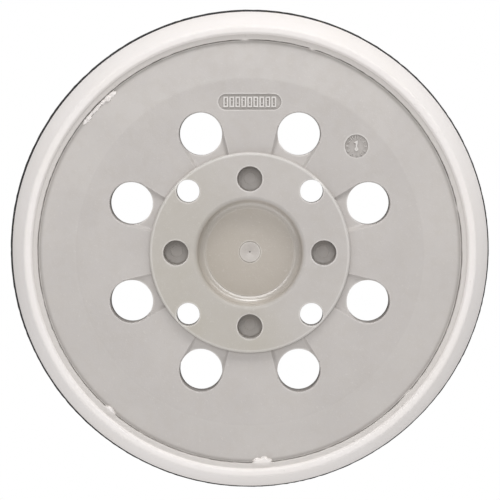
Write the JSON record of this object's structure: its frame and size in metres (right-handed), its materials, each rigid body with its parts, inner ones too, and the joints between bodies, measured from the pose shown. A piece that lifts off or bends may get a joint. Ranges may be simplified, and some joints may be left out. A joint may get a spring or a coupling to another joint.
{
  "type": "orbital sander backing pad",
  "caption": "Round hook-faced backing pad of a random orbital sander: a moulded plate with a bolted hub and dust holes, in a bevelled foam cushion.",
  "frame": {"origin": "centre of the hook face, at the tips of the hooks, on the pad's axis", "axes": "+Z along the pad's axis from the hook face up to the hub face that bolts to the tool; +Y towards the marking pocket; +X through a locating pin socket"},
  "size_m": [0.125, 0.125, 0.015],
  "materials": {
    "carrier_plastic": "fine satin mould texture, light warm grey",
    "cushion_foam": "smooth moulded skin, off-white",
    "adhesive": "dull amber edge",
    "hook_cloth": "woven black cloth with moulded hooks"
  },
  "bodies": {
    "root": {"carrier_plate": "carrier_plastic", "foam_cushion": "cushion_foam", "adhesive_film": "adhesive", "hook_facing": "hook_cloth"}
  },
  "joints": []
}
